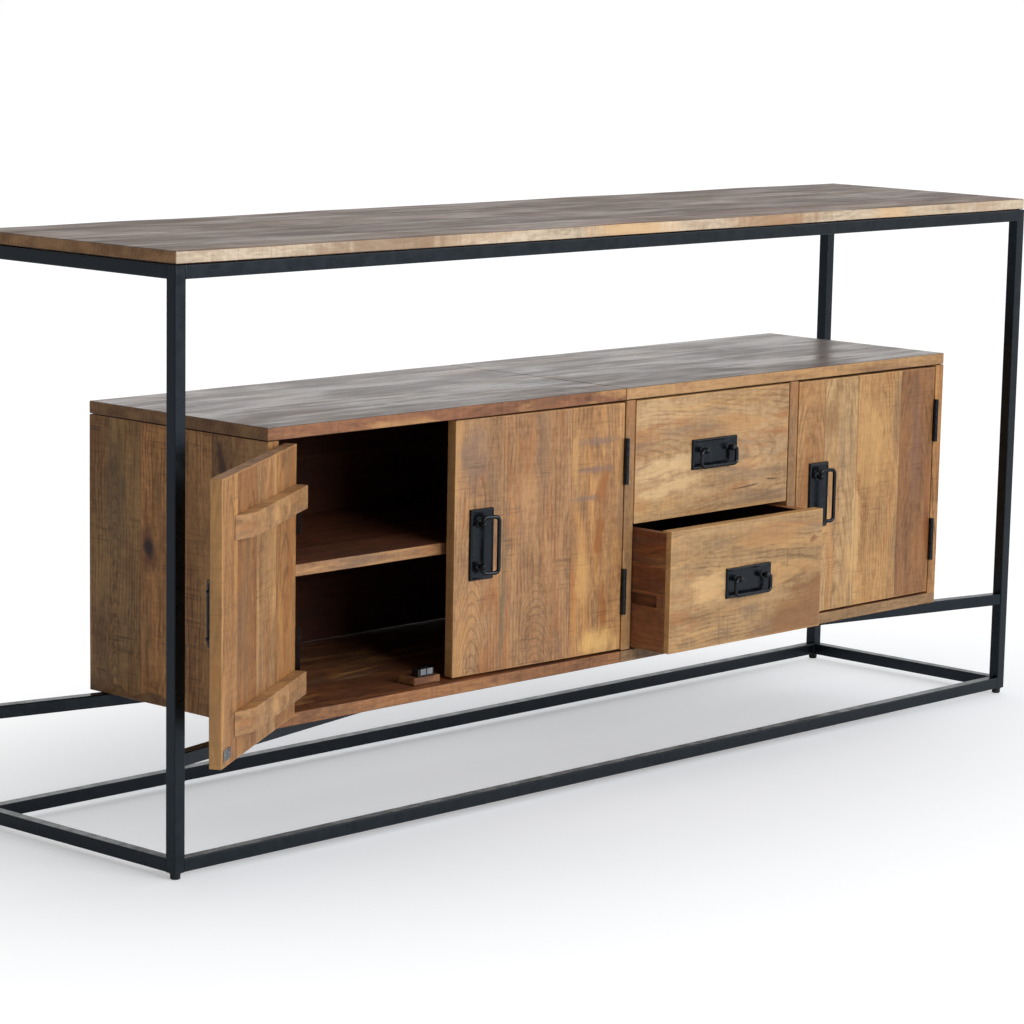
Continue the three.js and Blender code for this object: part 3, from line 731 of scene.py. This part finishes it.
# each partition's CAD node holds its panel and, on the side of the drawers, their runners
RUNNER_HALF = 9 * MM
RUNNER_FRONT, RUNNER_BACK = 0.03, 0.012
for side in ("left", "right"):
    low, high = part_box(f"partition_{side}")
    panel_low, panel_high = low.copy(), high.copy()
    if side == "left":
        panel_high.x = low.x + thickness
    else:
        panel_low.x = high.x - thickness
    board(f"partition_{side}_board", panel_low, panel_high, "zyx", "stand", partition_wood, case_end,
          replaced=[f"partition_{side}"])
    for level in ("lower", "upper"):
        box_low, box_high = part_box(f"drawer_{level}_box")
        middle = box_low.z + 0.42 * (box_high.z - box_low.z)
        inner, outer = (panel_high.x, high.x) if side == "left" else (low.x, panel_low.x)
        run_low = Vector((inner, case_low.y + RUNNER_FRONT, middle - RUNNER_HALF))
        run_high = Vector((outer, high.y - RUNNER_BACK, middle + RUNNER_HALF))
        board(f"runner_{side}_{level}", run_low, run_high, "yzx", "stand", inner_wood, inner_wood,
              edge=1.5 * MM)
for shelf in ("left", "right"):
    low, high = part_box(f"shelf_{shelf}")
    shelf_wood = wood(f"shelf_{shelf}_wood", dark_boards, "#74462f", "#452618", high.y - low.y, saw=0.6,
                      seed=67.0, hues=("#6b3a24", "#4a352a"), gold="#80533a")
    shelf_lip = wood(f"shelf_{shelf}_lip", dark_boards, "#a67a50", "#70492c", high.y - low.y, saw=0.6,
                     seed=69.0)
    board(f"shelf_{shelf}_board", low, high, "xyz", "stand", shelf_wood, case_end,
          replaced=[f"shelf_{shelf}"], lip=shelf_lip)
low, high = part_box("cabinet_back")
# the back board is painted just as dark, as shade
back_boards = [(0.25, "#ffffff"), (0.5, "#e9dbd0"), (0.75, "#f8efe6"), (1.0, "#e3d2c5")]
back_wood = wood("back_wood", back_boards, "#563022", "#301910", high.z - low.z, saw=0.6, seed=71.0,
                 rough=0.55, **painted_shade_hues)
board("back_board", low, high, "xzy", "stand", back_wood, case_end,
      replaced=["cabinet_back"])

# ---- doors ---------------------------------------------------------------------------------------
door_looks = {
    "left": dict(
        boards=[(0.28, "#f3e5d0"), (0.55, "#ffffff"), (0.8, "#ecdcc4"), (1.0, "#fbf0df")], light="#ad8253",
        dark="#74502f", seed=81.0, patches=[], arches=[]),
    "middle": dict(
        boards=[(0.28, "#f6ebe0"), (0.68, "#f8eadc"), (1.0, "#ffefd6")], light="#b9946b", dark="#7f5d3d",
        seed=92.0, patches=[
            (0.34, 0.04, 0.05, 0.04, 0, "#7d6455", 0.55), (0.12, 0.107, 0.17, 0.008, 2, "#6c664c", 0.5),
            (0.345, 0.31, 0.008, 0.045, 0, "#766059", 0.65), (0.3, 0.31, 0.006, 0.05, 0, "#766059", 0.6),
            (0.255, 0.29, 0.005, 0.045, 0, "#766059", 0.55), (0.27, 0.325, 0.035, 0.012, 8, "#965a24", 0.8),
            (0.19, 0.318, 0.05, 0.012, 4, "#8e5522", 0.8), (0.075, 0.33, 0.04, 0.012, -4, "#945a26", 0.8),
            (0.13, 0.285, 0.06, 0.02, 0, "#d2a263", 0.55), (0.02, 0.32, 0.022, 0.05, 0, "#deb06a", 0.7),
            (0.32, 0.262, 0.07, 0.008, 0, "#cf9f60", 0.5)],
        arches=[(0.125, 0.178, 0.062, 0.0125), (0.21, 0.04, 0.05, 0.02)]),
    "right": dict(
        boards=[(0.19, "#f3e4d3"), (0.43, "#ffffff"), (0.75, "#fbeeda"), (1.0, "#cdb3a0")], light="#c39d6c",
        dark="#8a663f", seed=103.0, patches=[
            (0.12, 0.166, 0.12, 0.012, 0, "#dcb47a", 0.6), (0.33, 0.09, 0.03, 0.02, 0, "#7d5230", 0.5),
            (0.25, 0.33, 0.12, 0.018, 0, "#7c5743", 0.6), (0.28, 0.2, 0.08, 0.05, 0, "#c69a60", 0.5)],
        arches=[]),
}
BATTEN_WIDTH = 0.034
for name, look in door_looks.items():
    body = f"door_{name}"
    low, high = flush_box(body, body)
    face = wood(f"{body}_wood", look["boards"], look["light"], look["dark"], high.x - low.x, saw=0.9,
                figure=1.1, seed=look["seed"], patches=look["patches"], arches=look["arches"],
                length=high.z - low.z)
    end = end_grain(f"{body}_end", CUT_LIGHT, CUT_DARK, look["seed"])
    board(f"{body}_panel", low, high, "zxy", body, face, end, cell=0.022, worn=0.7 * MM, edge=1.4 * MM,
          replaced=[body])
    for level in ("upper", "lower"):
        node = f"{body}_batten_{level}"
        keep(node, wood(f"{node}_wood", PLAIN, look["light"], look["dark"], BATTEN_WIDTH, saw=0.8,
                        seed=look["seed"], node=node, order="xzy"), 1.2 * MM)

# ---- drawers -------------------------------------------------------------------------------------
drawer_looks = {
    "upper": dict(light="#c29e72", dark="#8d6840", seed=111.0, patches=[
        (0.12, 0.09, 0.13, 0.02, 6, "#e2bf8c", 0.55), (0.08, 0.05, 0.1, 0.012, 8, "#e2bf8c", 0.6),
        (0.28, 0.035, 0.035, 0.0016, 3, "#4a2a16", 0.9), (0.345, 0.042, 0.02, 0.0016, -4, "#4a2a16", 0.9),
        (0.26, 0.14, 0.07, 0.02, 0, "#bb8a54", 0.5)]),
    "lower": dict(light="#b38e61", dark="#80603c", seed=127.0, patches=[
        (0.34, 0.03, 0.17, 0.055, 24, "#85572f", 0.75), (0.1, 0.1, 0.06, 0.035, 0, "#dcb27c", 0.6),
        (0.25, 0.17, 0.1, 0.02, 0, "#a87746", 0.45),
        (0.36, 0.15, 0.012, 0.007, 20, "#7a4a28", 0.7)]),
}
box_boards = [(0.5, "#ffffff"), (1.0, "#e9d6c8")]
for level, look in drawer_looks.items():
    node = f"drawer_{level}_front"
    low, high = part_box(node)
    keep(node, wood(f"{node}_wood", PLAIN, look["light"], look["dark"], high.z - low.z, saw=0.55,
                    figure=1.0, seed=look["seed"], patches=look["patches"], length=high.x - low.x,
                    node=node, order="xzy"), 1.2 * MM)
    # the drawer box's inner faces are painted near black as shade
    node = f"drawer_{level}_box"
    low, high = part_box(node)
    keep(node, wood(f"{node}_wood", box_boards, "#8a5535", "#583019", high.z - low.z, saw=0.6,
                    seed=look["seed"] + 3.0, node=node, order="yzx", inside=17.5 * MM), 1.0 * MM)
    # the drawer bottom's near-black colour is painted shade for the inside of the drawer
    node = f"drawer_{level}_bottom"
    keep(node, wood(f"{node}_wood", box_boards, "#3c2115", "#1f0f08", 0.36, saw=0.3,
                    seed=look["seed"] + 7.0, node=node, order="yxz"), 0.4 * MM)

# ---- bail handles --------------------------------------------------------------------------------
# A handle is drawn in its own frame: x along the plate, z up across it, y into the wood, and the rod's
# pivot line at the origin.
PLATE = (112 * MM, 50 * MM)
# (inset, height) of the plate's rim and field, from its back to its face, in millimetres
PLATE_PROFILE = ((0.0, 0.3), (0.0, 2.2), (1.2, 4.2), (2.6, 4.8), (3.6, 4.2), (4.6, 3.3), (5.4, 3.3))
# (radius, height) of a turned post with its collar, neck and knob, in millimetres
POST_PROFILE = (
    (0, 1.5), (6.6, 1.5), (6.6, 4.0), (5.2, 5.2), (3.6, 6.4), (3.4, 8.2), (4.7, 9.6), (5.4, 11.4),
    (5.5, 13.2), (5.2, 15.4), (4.1, 17.4), (2.2, 18.8), (0, 19.2),
)
ROD = 6.5 * MM
ROD_OUT = 13 * MM
POST_SPACING = 66 * MM
LEG_SPACING = 88 * MM
REACH = 27 * MM
PIVOT_RAISE = 7 * MM
CORNER = 7.5 * MM
ROD_END = 4.5 * MM


def handle_frame(body):
    """Takes the handle's own frame to the row frame, with the door flush."""
    pivot = opened(body).inverted() @ Vector(joints[f"bail_{body}"]["pos_m"])
    if body.startswith("drawer"):
        return Matrix.Translation(pivot)
    turn = -90 if body != "door_left" else 90
    return Matrix.Translation(pivot) @ Matrix.Rotation(math.radians(turn), 4, "Y")


def bail_path():
    """The rod's centre line, from one end in its post round to the other."""
    side, end = LEG_SPACING / 2, POST_SPACING / 2 - ROD_END
    corners = [(-side, 0), (-side, -REACH), (side, -REACH), (side, 0)]
    points = [(-end, 0)]
    before = [(1, 0), (0, 1), (-1, 0), (0, -1)]
    after = [(0, -1), (1, 0), (0, 1), (-1, 0)]
    bends = 8
    for (x, z), a, b in zip(corners, before, after):
        for step in range(bends + 1):
            t = step / bends
            points.append((
                x + CORNER * (a[0] * (1 - t) ** 2 + b[0] * t**2),
                z + CORNER * (a[1] * (1 - t) ** 2 + b[1] * t**2),
            ))
    points.append((end, 0))
    return [Vector((x, 0, z)) for x, z in points]


def add_handle(body):
    """A body's plate with its two posts, and the rod that swings in them."""
    place = handle_frame(body)
    profile = [(inset * MM, height * MM) for inset, height in PLATE_PROFILE]
    plate = stepped_plate(PLATE[0] / 2, PLATE[1] / 2, 1.5 * MM, profile)
    outward = Matrix.Rotation(math.radians(90), 4, "X")
    whole = bmesh.new()
    join_into(whole, plate, Matrix.Translation((0, ROD_OUT, -PIVOT_RAISE)) @ outward)
    for side in (-1, 1):
        post = turned([(radius * MM, height * MM) for radius, height in POST_PROFILE])
        join_into(whole, post, Matrix.Translation((side * POST_SPACING / 2, ROD_OUT, 0)) @ outward)
    whole.transform(place)
    piece = new_piece(f"handle_{body}", finished(whole, f"handle_{body}"), body, [iron],
                      [f"handle_plate_{body}"])
    soften(piece, 0.25 * MM, 2)
    rod = swept_tube(f"rod_{body}", bail_path(), ROD / 2)
    rod.transform(place @ Matrix.Rotation(math.radians(-BAIL_TILT[body]), 4, "X"))
    piece = new_piece(f"rod_{body}", rod, f"bail_{body}", [iron], [f"bail_{body}"])
    soften(piece, 0)


for body in BAIL_TILT:
    add_handle(body)


# ---- hinges --------------------------------------------------------------------------------------
KNUCKLES = 5
KNUCKLE_RADIUS = 4 * MM
KNUCKLE_GAP = 0.15 * MM
KNUCKLE_EASE = 0.4 * MM
PIN_HEAD = (2.9 * MM, 2.4 * MM)


def hinge_parts(node, body):
    """Fixed and moving knuckles of a butt hinge on one pin, each with its thin leaf."""
    low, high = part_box(node)
    pin = Vector(joints[body]["pos_m"])
    towards_door = 1.0 if body == "door_left" else -1.0
    knuckle = (high.z - low.z) / KNUCKLES
    radius, eased = KNUCKLE_RADIUS, KNUCKLE_RADIUS - KNUCKLE_EASE
    parts = {"stand": bmesh.new(), body: bmesh.new()}
    for number in range(KNUCKLES):
        rider = "stand" if number % 2 == 0 else body
        base = low.z + number * knuckle + KNUCKLE_GAP
        top = base + knuckle - 2 * KNUCKLE_GAP
        profile = [(0, base), (eased, base), (radius, base + KNUCKLE_EASE), (radius, top - KNUCKLE_EASE),
                   (eased, top), (0, top)]
        if number == KNUCKLES - 1:
            profile[-1:] = [(PIN_HEAD[0], top), (PIN_HEAD[1], top), (0, top)]
        join_into(parts[rider], turned(profile, 20), Matrix.Translation((pin.x, pin.y, 0)))
    for rider, offset in (("stand", -0.4 * MM), (body, 0.4 * MM)):
        inner = pin.x + towards_door * offset
        outer = inner + towards_door * (0.45 * MM if rider == body else -0.5 * MM)
        leaf = block_mesh((min(inner, outer), pin.y, low.z + 0.2 * MM),
                          (max(inner, outer), high.y, high.z - 0.2 * MM), 0.1)
        join_into(parts[rider], leaf, Matrix.Identity(4))
    return parts


for body in OPENED:
    for level in ("upper", "lower"):
        node = f"hinge_{body[5:]}_{level}"
        for rider, mesh in hinge_parts(node, body).items():
            name = f"{node}_{'fixed' if rider == 'stand' else 'moving'}"
            replaced = [node] if rider == "stand" else ()
            piece = new_piece(name, finished(mesh, name), rider, [iron], replaced)
            soften(piece, 0.15 * MM, 2)


# ---- magnetic catch ------------------------------------------------------------------------------
SHELL_HALF, SHELL_INSET, SHELL_BACK = 17 * MM, 3.5 * MM, 18 * MM
POLE_OFFSET, POLE_HALF = 7 * MM, 6 * MM
STRIKE_IN, STRIKE_UP = 24 * MM, 18.2 * MM
SCREW_OFFSET = 9.5 * MM


def screw_head(radius):
    """The slightly domed head of a screw."""
    return turned([(0, 0), (radius, 0), (radius, 0.25 * MM), (radius * 0.8, 0.7 * MM), (0, 0.8 * MM)], 20)


block_low = Vector((floor_high.x, floor_high.y, floor_top))
block_high = Vector((floor_low.x, floor_low.y, floor_high.z))
for vertex in frame["nodes"]["cabinet_bottom"].data.vertices:
    if vertex.co.z > floor_top + 1 * MM:
        for axis in (0, 1):
            block_low[axis] = min(block_low[axis], vertex.co[axis])
            block_high[axis] = max(block_high[axis], vertex.co[axis])
board("catch_block", block_low, block_high, "xyz", "stand", ledge, case_end, cell=0.01, worn=0.5 * MM)
catch_x = (block_low.x + block_high.x) / 2
shell_low = Vector((catch_x - SHELL_HALF, block_low.y + SHELL_INSET, block_high.z - 0.4 * MM))
shell_high = Vector((catch_x + SHELL_HALF, block_low.y + SHELL_BACK, block_high.z + 11 * MM))
shell = block_mesh(shell_low, shell_high, 0.01)
piece = new_piece("catch_shell", finished(shell, "catch_shell"), "stand", [plastic])
soften(piece, 1.2 * MM)
poles = bmesh.new()
for side in (-1, 1):
    pole_x = catch_x + side * POLE_OFFSET
    low = Vector((pole_x - POLE_HALF, shell_low.y - 1.5 * MM, shell_low.z + 2.5 * MM))
    high = Vector((pole_x + POLE_HALF, shell_high.y - 2 * MM, shell_high.z + 0.8 * MM))
    join_into(poles, block_mesh(low, high, 0.01), Matrix.Identity(4))
piece = new_piece("catch_poles", finished(poles, "catch_poles"), "stand", [zinc])
soften(piece, 0.4 * MM)

door_low, door_high = flush_box("door_left", "door_left")
strike = stepped_plate(16 * MM, 8 * MM, 3 * MM, [(0, 0), (0, 0.9 * MM), (0.5 * MM, 1.2 * MM)])
inward = Matrix.Rotation(math.radians(-90), 4, "X")
strike_at = Vector((door_high.x - STRIKE_IN, door_high.y, door_low.z + STRIKE_UP))
whole = bmesh.new()
join_into(whole, strike, Matrix.Translation(strike_at) @ inward)
for side in (-1, 1):
    place = Matrix.Translation(strike_at + Vector((side * SCREW_OFFSET, 1.1 * MM, 0))) @ inward
    join_into(whole, screw_head(3 * MM), place)
piece = new_piece("strike_plate", finished(whole, "strike_plate"), "door_left", [zinc])
soften(piece, 0.15 * MM, 2)

# ---- floor, light and camera ---------------------------------------------------------------------
# The camera sees the floor pass from shaded under the stand to plain white a little way off.
FLOOR_STRETCH = 0.62
FLOOR_FADE = (0.4, 1.25)
GLOW_NEAR, GLOW_GAIN = 0.28, 0.72
floor_graph = Graph("studio_floor")
floor_at = floor_graph.node("SeparateXYZ")
floor_graph.put(floor_at.inputs[0], floor_graph.node("TexCoord").outputs["Object"])
shortened = floor_graph.math("MULTIPLY", floor_at.outputs["X"], FLOOR_STRETCH)
stretch = floor_graph.vector(shortened, floor_at.outputs["Y"], 0.0)
away = floor_graph.node("VectorMath", operation="LENGTH")
floor_graph.put(away.inputs[0], stretch)
far = floor_graph.fade(away.outputs["Value"], *FLOOR_FADE)
glow = floor_graph.math("ADD", GLOW_NEAR, floor_graph.math("MULTIPLY", far, GLOW_GAIN))
seen = floor_graph.node("LightPath").outputs["Is Camera Ray"]
floor_graph.surface.inputs["Roughness"].default_value = 0.8
faded = floor_graph.math("MULTIPLY", far, seen)
floor_colour = floor_graph.mix(faded, srgb("#dfe4ea"), grey(0.0))
floor_graph.put(floor_graph.surface.inputs["Base Color"], floor_colour)
floor_graph.surface.inputs["Emission Color"].default_value = (1.0, 1.0, 1.0, 1.0)
floor_graph.put(floor_graph.surface.inputs["Emission Strength"], floor_graph.math("MULTIPLY", glow, seen))
bpy.ops.mesh.primitive_plane_add(size=80, location=(0, 0, -0.0005))
studio_floor = bpy.context.object
studio_floor.name = "studio_floor"
studio_floor.data.materials.append(floor_graph.material)
studio_floor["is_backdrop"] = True

world = bpy.data.worlds.new("studio")
scene.world = world
world.use_nodes = True
sky = world.node_tree
background = sky.nodes["Background"]
# darker towards -X for light on the object, and plain white where the camera sees it
direction = sky.nodes.new("ShaderNodeTexCoord")
facing = sky.nodes.new("ShaderNodeVectorMath")
facing.operation = "DOT_PRODUCT"
facing.inputs[1].default_value = (1.0, 0.1, -0.35)
sky.links.new(direction.outputs["Generated"], facing.inputs[0])
blend = sky.nodes.new("ShaderNodeMapRange")
blend.interpolation_type = "SMOOTHSTEP"
for name, setting in {"From Min": -0.9, "From Max": 0.5, "To Min": 0.12, "To Max": 1.0}.items():
    blend.inputs[name].default_value = setting
sky.links.new(facing.outputs["Value"], blend.inputs["Value"])
seen = sky.nodes.new("ShaderNodeLightPath")
backdrop = sky.nodes.new("ShaderNodeMix")
sky.links.new(seen.outputs["Is Camera Ray"], backdrop.inputs[0])
sky.links.new(blend.outputs["Result"], backdrop.inputs[2])
backdrop.inputs[3].default_value = 1.0
sky.links.new(backdrop.outputs[0], background.inputs["Strength"])
background.inputs["Color"].default_value = (1.0, 1.0, 1.0, 1.0)


def soft_box(name, place, target, size, watts):
    """A rectangular area light that faces target."""
    data = bpy.data.lights.new(name, "AREA")
    data.shape = "RECTANGLE"
    data.size, data.size_y = size
    data.energy = watts
    lamp = bpy.data.objects.new(name, data)
    lamp.location = place
    lamp.rotation_euler = (Vector(target) - Vector(place)).to_track_quat("-Z", "Y").to_euler()
    scene.collection.objects.link(lamp)


middle = (cad_low + cad_high) / 2
soft_box("key", (-0.4, -4.4, 2.0), middle, (3.2, 1.8), 140)
soft_box("overhead", (0.4, 0.6, 4.2), middle, (3.5, 2.0), 14)

# The camera stands to the left and in front, a little above the top, and is rolled by just over a
# degree. Its place is measured from the middle of the four posts.
CAMERA_LEFT, CAMERA_AHEAD, CAMERA_HEIGHT = 4.3465, 4.0516, 1.3376
YAW, PITCH, ROLL = -47.693, -10.636, 1.295
camera_data = bpy.data.cameras.new("camera")
camera = bpy.data.objects.new("camera", camera_data)
scene.collection.objects.link(camera)
scene.camera = camera
camera_data.sensor_width = 36.0
camera_data.lens = 128.14
camera_data.shift_x = -0.0707
camera_data.shift_y = 0.1085
camera_data.clip_end = 100.0
stand_middle = (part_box("post_front_left")[0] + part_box("post_back_right")[1]) / 2
camera.location = (stand_middle.x - CAMERA_LEFT, stand_middle.y - CAMERA_AHEAD, CAMERA_HEIGHT)
yaw, pitch, roll = (math.radians(angle) for angle in (YAW, PITCH, ROLL))
forward = Vector((-math.sin(yaw) * math.cos(pitch), math.cos(yaw) * math.cos(pitch), math.sin(pitch)))
right = Vector((math.cos(yaw), math.sin(yaw), 0))
up = right.cross(forward)
right, up = math.cos(roll) * right + math.sin(roll) * up, math.cos(roll) * up - math.sin(roll) * right
camera.rotation_mode = "QUATERNION"
camera.rotation_quaternion = Matrix((right, up, -forward)).transposed().to_quaternion()
scene.view_settings.view_transform = "Standard"

# ---- the visual model's bounds -------------------------------------------------------------------
low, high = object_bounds()
